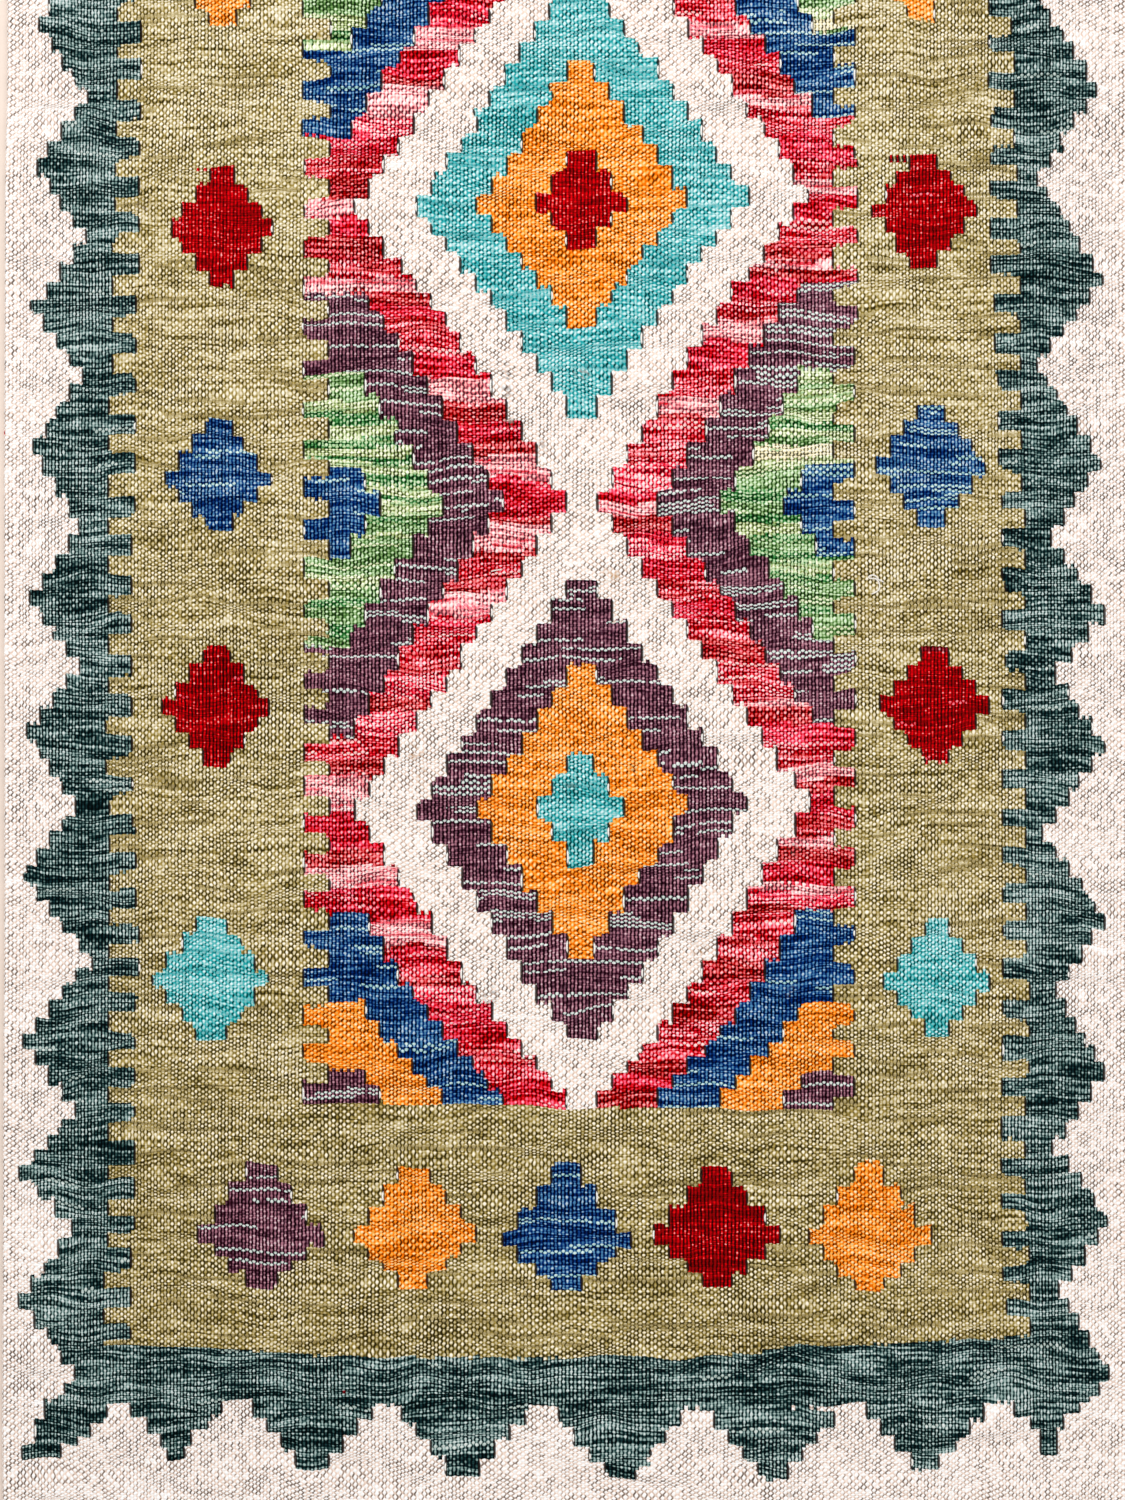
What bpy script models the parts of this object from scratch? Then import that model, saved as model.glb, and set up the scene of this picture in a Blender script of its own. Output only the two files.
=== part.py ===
"""A hand-woven kilim rug: one flat sheet of wool cloth that lies face up on the floor.

+X runs across the rug along its wefts, +Y runs along its warps, and +Z is up.
The origin is on the floor, under the middle of the rug.
"""

import math

import bmesh
import bpy

# Driving dimensions, in metres
RUG_WIDTH = 0.830
RUG_LENGTH = 1.500
CLOTH_THICKNESS = 0.0029
SELVEDGE_CORD_WIDTH = 0.0044  # the outer warps are bound together as a thicker cord
SELVEDGE_CORD_RISE = 0.0004
END_ROLL_WIDTH = 0.0040  # the first and last picks are packed into a slight roll
END_ROLL_RISE = 0.0002
EDGE_ROUNDING = 0.0011
EDGE_ROUNDING_STEPS = 2
COCKLE_HEIGHT = 0.00022  # the beat of the wefts leaves the face a little uneven
COCKLE_ALONG = 0.37  # length of a wave along the warps
COCKLE_ACROSS = 0.29
COCKLE_PHASES = (0.6, 1.1)  # along and across, in radians
SMOOTH_UP_TO = math.radians(50)

# Grid of the cloth between its selvedges and its ends
CELLS_ACROSS = 14
CELLS_ALONG = 26

WOOL_COLOUR = (0.30, 0.27, 0.13, 1.0)
WOOL_ROUGHNESS = 0.95

# How far the weaver's tension draws each selvedge in, from the head (+Y) to the foot
SELVEDGE_DRAW_IN = (
    # share of length, left mm, right mm
    (0.00, 3.1, 2.6),
    (0.13, 4.0, 3.1),
    (0.28, 3.7, 2.2),
    (0.35, 1.9, 2.6),
    (0.50, 1.3, 1.5),
    (0.68, 1.6, 0.9),
    (0.82, 0.6, 1.3),
    (0.95, 0.0, 0.0),
    (1.00, 0.4, 0.7),
)

# How far each end stands back from a straight line, from the left (-X) to the right
END_DRAW_IN = (
    # share of width, foot mm, head mm
    (0.00, 1.9, 0.9),
    (0.08, 0.7, 0.2),
    (0.27, 0.0, 0.8),
    (0.46, 0.9, 1.5),
    (0.63, 1.3, 0.5),
    (0.85, 0.3, 0.0),
    (1.00, 1.4, 1.6),
)


def eased(table, column, share):
    """The value of one column at a share of the way, eased from row to row."""
    for (start, *low), (end, *high) in zip(table, table[1:]):
        if share <= end:
            t = max(share - start, 0.0) / (end - start)
            ease = (1.0 - math.cos(math.pi * t)) / 2.0
            return low[column] + (high[column] - low[column]) * ease
    return table[-1][column + 1]


def grid_lines(length, border, cells, stations):
    """Places along one side: its rounded border's, and cells between that take in the stations."""
    half = length / 2
    inner = half - border
    lines = [-inner + 2 * inner * i / cells for i in range(cells + 1)]
    for place in stations:
        if abs(place) < inner:
            nearest = min(range(1, cells), key=lambda i: abs(lines[i] - place))
            lines[nearest] = place
    rim = [half, half - border / 2]
    return [-place for place in rim] + lines + rim[::-1]


def outline_shift(x, y):
    """How far a point of the straight rug moves to lie inside the real outline."""
    across = x / RUG_WIDTH + 0.5
    along = 0.5 - y / RUG_LENGTH
    left = eased(SELVEDGE_DRAW_IN, 0, along) / 1000
    right = eased(SELVEDGE_DRAW_IN, 1, along) / 1000
    foot = eased(END_DRAW_IN, 0, across) / 1000
    head = eased(END_DRAW_IN, 1, across) / 1000
    return left * (1 - across) - right * across, foot * along - head * (1 - along)


def crest(distance, width, rise):
    """The height that a rounded border adds at a distance in from its edge."""
    if distance >= width:
        return 0.0
    return rise * math.sin(math.pi * distance / width)


def face_height(x, y):
    """The thickness of the cloth at a point of the straight rug."""
    cockle = math.sin(2 * math.pi * y / COCKLE_ALONG + COCKLE_PHASES[0])
    cockle *= math.sin(2 * math.pi * x / COCKLE_ACROSS + COCKLE_PHASES[1])
    cord = crest(RUG_WIDTH / 2 - abs(x), SELVEDGE_CORD_WIDTH, SELVEDGE_CORD_RISE)
    roll = crest(RUG_LENGTH / 2 - abs(y), END_ROLL_WIDTH, END_ROLL_RISE)
    return CLOTH_THICKNESS + COCKLE_HEIGHT * cockle + max(cord, roll)


def lay_out(bm, columns, rows):
    """Spreads an even unit grid over the columns and rows."""
    for vert in bm.verts:
        i = round((vert.co.x + 0.5) * (len(columns) - 1))
        j = round((vert.co.y + 0.5) * (len(rows) - 1))
        vert.co.x = columns[i]
        vert.co.y = rows[j]


def rim_edges(bm):
    """The edges where the wall of the cloth meets its face or its back."""
    wall = {face for face in bm.faces if abs(face.normal.z) < face.normal.xy.length}
    return [edge for edge in bm.edges if len(wall.intersection(edge.link_faces)) == 1]


def cloth_mesh():
    ends = [(share - 0.5) * RUG_WIDTH for share, *_ in END_DRAW_IN]
    sides = [(0.5 - share) * RUG_LENGTH for share, *_ in SELVEDGE_DRAW_IN]
    columns = grid_lines(RUG_WIDTH, SELVEDGE_CORD_WIDTH, CELLS_ACROSS, ends)
    rows = grid_lines(RUG_LENGTH, END_ROLL_WIDTH, CELLS_ALONG, sides)
    bm = bmesh.new()
    bmesh.ops.create_grid(
        bm, x_segments=len(columns) - 1, y_segments=len(rows) - 1, size=0.5
    )
    lay_out(bm, columns, rows)
    raised = bmesh.ops.extrude_face_region(bm, geom=bm.faces[:], use_keep_orig=True)
    for item in raised["geom"]:
        if isinstance(item, bmesh.types.BMVert):
            item.co.z = face_height(item.co.x, item.co.y)
    for vert in bm.verts:
        shift_x, shift_y = outline_shift(vert.co.x, vert.co.y)
        vert.co.x += shift_x
        vert.co.y += shift_y
    bmesh.ops.recalc_face_normals(bm, faces=bm.faces)
    bmesh.ops.bevel(
        bm,
        geom=rim_edges(bm),
        offset=EDGE_ROUNDING,
        segments=EDGE_ROUNDING_STEPS,
        profile=0.5,
        affect="EDGES",
        material=-1,
    )
    mesh = bpy.data.meshes.new("kilim")
    bm.to_mesh(mesh)
    bm.free()
    mesh.shade_smooth()
    mesh.set_sharp_from_angle(angle=SMOOTH_UP_TO)
    return mesh


def wool():
    material = bpy.data.materials.new("handspun_wool")
    material.use_nodes = True
    shader = material.node_tree.nodes["Principled BSDF"]
    shader.inputs["Base Color"].default_value = WOOL_COLOUR
    shader.inputs["Roughness"].default_value = WOOL_ROUGHNESS
    shader.inputs["Metallic"].default_value = 0.0
    return material


def clear_scene():
    for obj in list(bpy.data.objects):
        bpy.data.objects.remove(obj, do_unlink=True)


def main():
    clear_scene()
    collection = bpy.data.collections.new("kilim_rug")
    bpy.context.scene.collection.children.link(collection)
    kilim = bpy.data.objects.new("kilim", cloth_mesh())
    kilim.data.materials.append(wool())
    collection.objects.link(kilim)


main()
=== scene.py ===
"""Dresses the hand-woven kilim rug: its weave, its dyed yarns and its loose thread ends.

+X runs across the rug along its wefts, +Y runs along its warps from the foot to the head, and
+Z is up. The rug is weft-faced: each warp is a rib, covered by beads of weft, and a bead is two
picks tall. The beads of one rib lie half a bead higher or lower than those of the next. The mesh
has a line along the crown of each rib and one in the gap between two ribs, and each bead has its
own faces, so a bead is the smallest mark that the pattern can make.
"""

import math
from functools import partial

import bmesh
import bpy
import numpy as np
from bpy.props import FloatProperty, FloatVectorProperty, IntProperty, PointerProperty
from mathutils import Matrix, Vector


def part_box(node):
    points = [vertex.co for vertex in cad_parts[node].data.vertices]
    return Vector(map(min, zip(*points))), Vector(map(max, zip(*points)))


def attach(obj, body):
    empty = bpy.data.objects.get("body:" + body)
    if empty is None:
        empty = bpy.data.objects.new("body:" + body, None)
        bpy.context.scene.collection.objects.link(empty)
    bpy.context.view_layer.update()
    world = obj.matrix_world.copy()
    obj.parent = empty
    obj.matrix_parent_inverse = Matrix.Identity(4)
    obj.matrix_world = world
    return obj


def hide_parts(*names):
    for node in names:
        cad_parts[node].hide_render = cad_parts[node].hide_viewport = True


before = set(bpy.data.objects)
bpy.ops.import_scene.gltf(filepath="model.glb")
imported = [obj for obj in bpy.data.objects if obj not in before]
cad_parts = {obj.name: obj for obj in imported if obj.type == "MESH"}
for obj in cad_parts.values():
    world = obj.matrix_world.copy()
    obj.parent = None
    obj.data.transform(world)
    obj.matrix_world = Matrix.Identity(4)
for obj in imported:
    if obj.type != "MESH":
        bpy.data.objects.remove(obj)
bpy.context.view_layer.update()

bl_info = {
    "name": "Kilim Rug",
    "version": (1, 0, 0),
    "blender": (4, 5, 0),
    "location": "View3D > Sidebar > Kilim",
    "description": "Weaves a kilim rug with stepped lozenges, side diamonds and a stepped border",
    "category": "Add Mesh",
}

MM = 0.001
RUG_LOW, RUG_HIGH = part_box("kilim")
RUG_WIDTH = RUG_HIGH.x - RUG_LOW.x
RUG_LENGTH = RUG_HIGH.y - RUG_LOW.y

# The photograph's frame: straight above the rug, and how much of the floor it takes in
PHOTO_CENTRE = (-0.0033, -0.1763)
PHOTO_WIDTH = 0.8263
CAMERA_HEIGHT = 2.0
SENSOR_WIDTH = 24.0  # mm

FLOOR_SIZE = 12.0
FLOOR_GAP = 0.0002  # below the rug, so that the two never share a plane
DAYLIGHT = "#fffdfb"
LIGHT_AIM = (0.0, -0.1, 0.0)
LIGHTS = (
    # name, place, size, share of the key light's power
    ("key_light", (-1.4, 2.2, 3.0), 1.6, 1.0),
    ("fill_light", (2.2, -1.2, 2.6), 2.0, 0.35),
)

# ---- The outline and the thickness of the cloth, as in the solid ----

CLOTH_THICKNESS = 0.0029
SELVEDGE_CORD_WIDTH = 0.0044
SELVEDGE_CORD_RISE = 0.0004
END_ROLL_WIDTH = 0.0040
END_ROLL_RISE = 0.0002
COCKLE_HEIGHT = 0.00022
COCKLE_ALONG = 0.37
COCKLE_ACROSS = 0.29
COCKLE_PHASES = (0.6, 1.1)

SELVEDGE_DRAW_IN = (
    # share of length from the head, left mm, right mm
    (0.00, 3.1, 2.6),
    (0.13, 4.0, 3.1),
    (0.28, 3.7, 2.2),
    (0.35, 1.9, 2.6),
    (0.50, 1.3, 1.5),
    (0.68, 1.6, 0.9),
    (0.82, 0.6, 1.3),
    (0.95, 0.0, 0.0),
    (1.00, 0.4, 0.7),
)

END_DRAW_IN = (
    # share of width from the left, foot mm, head mm
    (0.00, 1.9, 0.9),
    (0.08, 0.7, 0.2),
    (0.27, 0.0, 0.8),
    (0.46, 0.9, 1.5),
    (0.63, 1.3, 0.5),
    (0.85, 0.3, 0.0),
    (1.00, 1.4, 1.6),
)

# ---- The weave ----

BANDS = 5  # pieces that the cloth is woven in, to keep each mesh small
WARP_CROWDING = 0.075  # warps lie this much closer at the selvedges and wider in the middle
SELVEDGE_PULL = 1.3  # mm, how far the outermost inner warp is pulled towards the edge
PULLED_WARPS = 4  # warps in from the edge at which the pull ends
CALM_EDGES = (8, 12)  # warps from a side and wefts from an end over which the unevenness sets in
EDGE_HEIGHT = (0.7, 1.9)  # mm, the rounded edge's lower and upper line
BEAD_STAGGER = 0.2  # wefts, how far the ends of neighbouring beads lie from one line
RIB_DEPTH = 0.40  # mm, from the crown of a rib down to the gap beside it
RIB_RISE = 0.4  # share of that depth that lies above the mean face
IVORY_RIBS = 0.15  # share of that depth in the soft undyed wool, which fills the gaps
SLIT_DEPTH = 1.0  # mm, down to the bottom of a slit
SLIT_UNEVENNESS = 0.45  # share of that depth by which one stretch of a slit is tighter
SLIT_STRETCH = 4  # beads in such a stretch
UNDERSIDE_RELIEF = 0.3  # mm
SMOOTH_UP_TO = math.radians(50)

ROW_WAVES = (
    # how far the wefts wander, mm; size of a wave across, mm; along, mm
    (2.2, 55.0, 40.0),
    (2.9, 27.0, 16.0),
)
WARP_WANDER = (0.6, 26.0, 120.0)  # the same for the warps
WARP_UNEVENNESS = 0.35  # mm
EDGE_FOLLOWS = 0.6  # share of a weft's wandering that the pattern's level edges take up

# ---- The yarns ----

# Each yarn is wool of its own dye lot. Three tones say how it looks, with painted light and shade:
# shaded beside a gap between two beads, the yarn's own colour, and lit on the crown of a bead.
YARNS = (
    # name, area, shaded, own, lit
    ("ivory", "ivory", "#edd3c3", "#f1f1ef", "#fcfeff"),
    ("cream", "ivory", "#e8d0c1", "#f4f4f3", "#fefeff"),
    ("teal", "teal", "#0f2c30", "#2e4f4c", "#a0b8b4"),
    ("olive", "olive", "#a08a44", "#c2b48a", "#faf0d8"),
    ("deep_crimson", "crimson", "#980000", "#c80002", "#f6848a"),
    ("crimson", "crimson", "#ca0003", "#e10218", "#f8688a"),
    ("rose", "crimson", "#d20004", "#e60828", "#f8a6b6"),
    ("pink", "crimson", "#ff0826", "#ee5a78", "#ecdad8"),
    ("light_pink", "crimson", "#ff7e8c", "#f2b2ae", "#f2e8e6"),
    ("turquoise", "turquoise", "#24aeb2", "#70b8b8", "#d2f0f2"),
    ("orange", "orange", "#ff7504", "#f19e28", "#f6dca0"),
    ("red", "red", "#8e0102", "#7e0106", "#f0000c"),
    ("dark_red", "red", "#500102", "#600207", "#a02030"),
    ("purple", "purple", "#3c0f22", "#553544", "#b6798a"),
    ("grey_green", "purple", "#9aa8a4", "#c4d0ca", "#eef2ee"),
    ("blue", "blue", "#01256a", "#023676", "#548fb6"),
    ("pale_blue", "blue", "#5a94a4", "#90bec4", "#dceee8"),
    ("green", "green", "#206226", "#3a8e48", "#ccdfb6"),
    ("mid_green", "green", "#4a7a36", "#7ea064", "#cee8bc"),
    ("light_green", "green", "#98ae62", "#c6d2a4", "#f8fae2"),
    ("pale_green", "green", "#f4e8b4", "#f6ecd0", "#eff0e2"),
    ("pale_teal", "teal", "#80968f", "#9fb3ad", "#d8e0dc"),
    ("deep_turquoise", "turquoise", "#24888e", "#4a9fa4", "#9cd2d2"),
    ("deep_olive", "olive", "#7a6a3c", "#93835a", "#c8b888"),
    ("streaked_crimson", "crimson", "#c60001", "#e60834", "#f5c8d0"),
)
YARN_NAMES = [row[0] for row in YARNS]
YARN_NUMBERS = {name: number for number, name in enumerate(YARN_NAMES)}
TONE_STOPS = (0.0, 0.22, 0.395, 0.50, 0.78, 0.96)  # hollow, dark, shaded, own, lit, brightest
DARK_SHARE = 0.24  # brightness of the dark tone, as a share of the shaded one's
HOLLOW_SHARE = 0.06  # brightness of the hollow tone, as a share of the shaded one's
BRIGHTEST_SHARE = 0.45  # how far the brightest tone goes from the lit one to white

# How each area's yarn is spun and dyed: how much the ribs, the lines of beads that rise to the
# right, those that fall to the right and the picks stand out; the contrast of the painted light and
# shade on the beads, and how far it differs from bead to bead; how far the fuzz of the yarn hides
# them; how much the streaks in the yarn, the painted shade in the furrows between some rows and the
# dye lots stand out; the painted light that brightens the cloth towards the head; and the picks in
# a standard pick's height
SPINNING = {
    # area: ribs, rising, falling, picks, contrast, speck, fuzz, streak, furrow, abrash,
    # painted_head_light, fineness
    "ivory": (0.24, 0.30, 0.24, 0.12, 0.72, 0.65, 0.36, 0.10, 0.05, 0.08, 0.00, 0.82),
    "teal": (0.42, 0.20, 0.16, 0.18, 0.90, 0.60, 0.85, 0.46, 0.25, 0.45, 0.04, 0.76),
    "olive": (0.34, 0.30, 0.26, 0.10, 0.80, 0.60, 0.75, 0.25, 0.44, 0.16, 0.14, 0.79),
    "crimson": (0.38, 0.30, 0.16, 0.14, 0.86, 0.60, 0.80, 0.48, 0.20, 0.15, 0.04, 0.78),
    "turquoise": (0.34, 0.32, 0.18, 0.12, 0.74, 0.60, 0.80, 0.32, 0.05, 0.25, 0.06, 0.85),
    "orange": (0.32, 0.34, 0.18, 0.12, 0.74, 0.60, 0.80, 0.30, 0.05, 0.25, 0.06, 0.86),
    "red": (0.60, 0.14, 0.12, 0.12, 0.66, 0.60, 0.70, 0.34, 0.15, 0.20, 0.16, 0.88),
    "purple": (0.52, 0.20, 0.12, 0.12, 0.84, 0.60, 0.80, 0.24, 0.15, 0.25, 0.06, 0.90),
    "blue": (0.46, 0.22, 0.16, 0.14, 0.88, 0.60, 0.80, 0.46, 0.15, 0.30, 0.10, 0.86),
    "green": (0.38, 0.28, 0.18, 0.14, 0.86, 0.60, 0.80, 0.40, 0.25, 0.25, 0.04, 0.82),
}

# Soft waves of noise, in thread counts, that make the cloth uneven
WAVES = {
    # what they shape: warps across, wefts along, slice of the noise, detail
    "drift": (17.0, 11.0, 2.6, 0.0),  # rows of beads stray up and down
    "jolt": (2.5, 3.0, 1.2, 0.0),  # beads crowd together and thin out
    "taut": (14.0, 26.0, 4.4, 1.0),  # ribs stand out more or less
    "firm": (14.0, 26.0, 7.7, 1.0),  # beads stand out more or less
    "fuzz": (1.3, 1.2, 9.4, 0.0),  # tufts of the yarn hide the beads
    "waver": (24.0, 17.0, 1.9, 0.0),  # streaks stray up and down
    "streak": (13.0, 0.95, 3.7, 1.0),  # thick and thin places of the yarn
    "furrow": (22.0, 0.9, 6.4, 1.0),  # painted shade in lines where two rows part
    "abrash": (70.0, 9.0, 8.1, 1.0),  # changes of dye lot
    "stain": (1.6, 2.0, 2.2, 1.0),  # spots that a stain is made of
}
CHAIN_WAVES = (5.3, 1.0)  # slice and detail of the waves on which a second yarn shows
WAVES_START = (0.37, 0.31)  # keeps whole threads off the noise's own grid, where it is flat grey
DRIFT = 1.1  # wefts that a row of beads strays
JOLT = (0.34, 0.70)  # warps and wefts that the beads are moved
WAVER = 1.6  # wefts that a streak strays
TENSION_RANGE = (1.0, 0.5)  # factor and start that turn waves into a share of the usual contrast
STREAK_RANGE = (0.34, 0.66)  # height of the waves in a dark streak and in a light one
FURROW_RANGE = (0.58, 0.70)  # height of the waves where a furrow's painted shade begins, and where it is darkest
STAIN_RANGE = (0.45, 0.58)  # height of the waves at a spot's edge and in its middle

# The beads' painted light and shade: lit crowns and shaded gaps
CROWN_FLATNESS = 2.2  # how flat the beads are on top
CROWN_SHARE = 0.62  # how much painted light their crowns add to the tone
HOLLOW_DEPTH = 1.75  # how much painted shade the gaps between them take from it
HIGHLIGHT = 0.13  # how much the painted highlight of lit fibres on some of the crowns adds
GLINT_MEAN = 0.07  # mean share of the painted highlight over a whole bead

# Thin chains of a second yarn, on every bead of a row or two
SECOND_YARNS = {
    # yarn: second yarn, height of the waves above which it shows, warps across, beads along
    "teal": ("pale_teal", 0.70, 30.0, 1.6),
    "deep_crimson": ("rose", 0.62, 24.0, 0.8),
    "crimson": ("pink", 0.63, 24.0, 0.8),
    "rose": ("light_pink", 0.61, 24.0, 0.8),
    "pink": ("crimson", 0.60, 24.0, 0.8),
    "light_pink": ("rose", 0.60, 24.0, 0.8),
    "streaked_crimson": ("deep_crimson", 0.52, 34.0, 0.9),
    "turquoise": ("deep_turquoise", 0.60, 44.0, 1.4),
    "purple": ("grey_green", 0.565, 46.0, 1.2),
    "blue": ("pale_blue", 0.60, 34.0, 1.7),
    "red": ("rose", 0.69, 34.0, 0.8),
    "green": ("mid_green", 0.58, 30.0, 1.1),
    "mid_green": ("light_green", 0.54, 26.0, 1.1),
    "light_green": ("mid_green", 0.58, 30.0, 1.1),
    "pale_green": ("mid_green", 0.66, 30.0, 1.1),
    "olive": ("deep_olive", 0.62, 40.0, 0.9),
}
CHAIN_ZIGZAG = 0.6  # wefts that a chain steps up or down from warp to warp
CHAIN_WIDTH = 0.40  # wefts, half its width
CHAIN_ROUNDNESS = 0.10  # wefts that this half is wider on a rib, and narrower in a gap
CHAIN_GAPS = 0.05  # share of its beads that stay hidden
CHAIN_TONE = 0.62  # tone that its beads keep to
CHAIN_CONTRAST = 0.5  # share of the contrast around them that they take on

WOOL_SURFACE = {
    "Roughness": 0.92,
    "Specular IOR Level": 0.03,  # a mirror-like share would grey the deep dyes
}
BUMP_HEIGHT = 0.00045
FIBRE_SIZE = 0.0007  # coarser than the real fibres, which are too fine to show
FIBRE_SHARE = 0.25  # height of the fibres, as a share of a bead's
# Painted shade: the colour that darkens the yarn in the slits
SLIT_SHADE_COLOUR = "#1d1512"
SLIT_SHADE = 0.92  # how much of the yarn's colour the painted shade in a slit hides
SLIT_FADE = (0.05, 0.32)  # openness of a slit at which its painted shade begins, and at which it is full
PLY_TWIST = 0.0007  # m, a little coarser than the real twist, which is too fine to show
PLY_SHADE = 0.75  # brightness of the painted shade between two plies
PLY_RELIEF = 0.2  # depth between two plies, as a share of the twist
PLY_WANDER = 1.5  # how unevenly they are twisted
FLOOR_SURFACE = {"Roughness": 0.8}
FLOOR_CLOUDS = (6.0, 3.0, 0.93)  # scale and detail of its darker clouds, and their brightness

# ---- The pattern, in mm from the middle of the rug ----

BORDER_STEP = 12.9  # height of one step of the outer border

BORDER_LEFT = (
    # y, x of each valley and each tip, from the foot to the head
    (-668.0, -385.0), (-633.9, -362.1), (-580.3, -401.8), (-529.6, -364.3), (-486.2, -401.8),
    (-439.2, -362.1), (-389.3, -400.3), (-330.5, -349.6), (-267.4, -398.8), (-217.4, -360.6),
    (-163.8, -397.4), (-116.1, -358.4), (-64.6, -394.4), (-11.0, -357.7), (47.0, -393.0),
    (99.9, -355.5), (149.8, -393.0), (201.3, -352.6), (251.9, -390.0), (304.1, -351.8),
    (354.8, -387.8), (410.6, -353.3), (466.4, -390.8), (523.7, -354.8), (580.3, -394.4),
    (633.9, -362.1), (668.0, -377.0),
)
BORDER_RIGHT = (
    (-668.0, 377.0), (-631.7, 398.1), (-572.9, 361.4), (-520.0, 398.1), (-466.4, 357.0),
    (-413.5, 394.4), (-351.8, 358.4), (-302.6, 395.9), (-235.8, 349.6), (-174.1, 394.4),
    (-118.3, 358.4), (-74.9, 393.7), (-19.1, 355.5), (36.7, 391.5), (108.7, 345.2),
    (168.9, 393.0), (245.3, 345.9), (310.0, 390.0), (374.6, 347.4), (437.0, 391.5),
    (492.1, 354.8), (539.9, 394.4), (583.9, 359.2), (631.7, 395.9), (668.0, 385.0),
)

# The teal band across each end, and the stepped teeth that hang from it. The head repeats the
# foot turned half round.
BAND_LINE = (
    # x, distance of the band's edge from the middle
    (-415.0, 655.0), (-150.0, 655.0), (-60.0, 658.5), (90.0, 659.5), (130.0, 662.5), (190.0, 657.0),
    (250.0, 655.0), (415.0, 655.0),
)
BAND_TEETH = (
    # middle x, half width, distance of the tip from the middle
    (-286.8, 33.4, 698.5),
    (-187.3, 44.1, 705.1),
    (-76.8, 45.9, 708.8),
    (38.6, 45.2, 712.5),
    (151.3, 44.1, 711.0),
    (263.3, 43.7, 705.1),
    (352.9, 23.9, 694.1),
)
TOOTH_STEP = 11.1  # how much narrower a tooth is at each level towards its tip
TOOTH_LEVELS = 4
TOOTH_TIP = 6.0  # least half width
TOOTH_OVERLAP = 1.0  # how far it starts inside the band
CORNER_FINGER = (
    # left x, right x, nearer and farther distance from the middle
    (-382.7, -337.9, 653.7, 668.4),
    (-390.0, -348.9, 668.4, 679.4),
    (-390.0, -359.2, 679.4, 688.2),
    (-399.6, -371.7, 688.2, 699.2),
)

# The combs of small teeth that join the field to the border and to the column
COMB_TEETH = (
    # number of the tooth, its y in the border's comb left and right, in the column's left and right
    (-10, 638.3, 654.4, 653.7, 664.7),
    (0, 352.6, 369.1, 367.2, 378.3),
    (5, 210.8, 235.0, 221.5, 229.5),
    (10, 62.1, 95.1, 74.2, 85.2),
    (15, -84.5, -50.7, -72.3, -56.6),
    (20, -231.7, -199.0, -204.6, -196.1),
    (25, -362.5, -336.8, -342.6, -342.3),
    (30, -498.7, -481.8, -486.2, -477.4),
    (35, -630.9, -613.3, -630.9, -613.3),
)
COMB_SHARE = 0.52  # of the pitch that a tooth takes up
TOOTH_TAPER = 0.05  # of the pitch that a tooth loses from its foot to its tip
TOOTH_DROOP = 0.03  # of the pitch that its tip hangs lower than its foot
TOOTH_UNEVENNESS = 0.08  # of the pitch that one tooth is thicker than another
COMB_LEFT = (
    # y, x at the foot of the teeth and at their tips
    (-602.3, -339.3, -320.2), (-492.1, -337.9, -318.0), (-308.5, -336.4, -315.1),
    (-168.9, -337.9, -320.2), (44.1, -336.4, -318.0), (154.2, -333.5, -315.8),
    (359.9, -329.8, -312.2), (640.0, -334.0, -315.0),
)
COMB_RIGHT = (
    (-580.3, 340.8, 321.7), (-470.1, 335.7, 318.0), (-404.0, 338.6, 320.2),
    (-95.5, 337.9, 321.0), (44.1, 334.2, 318.0), (172.6, 332.7, 312.2),
    (359.9, 326.9, 310.0), (640.0, 333.0, 316.0),
)
FIELD_END = (
    # x, distance of the olive field's end from the middle
    (-343.0, 612.6), (-240.2, 615.5), (-159.4, 621.4), (119.7, 622.1), (171.1, 611.8),
    (332.7, 608.9),
)

DIAMONDS = (
    # yarn, x, y of the widest row, half width, rise above it, drop below it
    ("orange", -253.4, 400.3, 39.7, 45.5, 44.1),
    ("orange", 260.7, 407.6, 39.7, 44.1, 46.3),
    ("red", -253.4, 206.4, 37.5, 46.3, 42.6),
    ("red", 262.2, 220.4, 38.9, 41.9, 41.9),
    ("blue", -256.3, 22.0, 39.7, 46.3, 38.2),
    ("blue", 267.4, 32.3, 39.7, 46.3, 43.3),
    ("red", -257.8, -144.7, 39.7, 43.3, 42.6),
    ("red", 269.6, -144.0, 39.7, 42.6, 41.9),
    ("turquoise", -261.5, -344.5, 43.3, 45.5, 44.1),
    ("turquoise", 271.8, -345.9, 39.3, 46.3, 40.4),
    ("purple", -224.8, -531.8, 45.5, 52.9, 37.5),
    ("orange", -112.7, -531.0, 45.2, 49.9, 41.1),
    ("blue", -0.4, -535.5, 46.6, 54.4, 38.2),
    ("red", 110.2, -531.8, 45.5, 50.7, 39.7),
    ("orange", 221.8, -533.2, 44.8, 53.6, 40.4),
    ("red", -221.8, 533.0, 45.0, 40.0, 52.0),
    ("turquoise", -110.0, 532.0, 45.5, 39.0, 50.5),
    ("purple", 1.0, 534.0, 46.0, 38.5, 53.0),
    ("orange", 113.0, 531.5, 45.0, 41.0, 50.0),
    ("blue", 224.0, 533.0, 45.5, 38.0, 52.5),
)
DIAMOND_ROWS = 3  # stepped rows above and below the widest one
DIAMOND_MIDDLE = 6.5  # half the height of the widest row
DARK_TIP = (269.6, 40.0, -105.0)  # middle, half width and foot of a red diamond's darker top

# The ends of the rows droop where an area ends, so a corner loses some beads
CORNER_ROUNDING = (0.22, 0.10)  # share of the upper and of the lower corners

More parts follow.
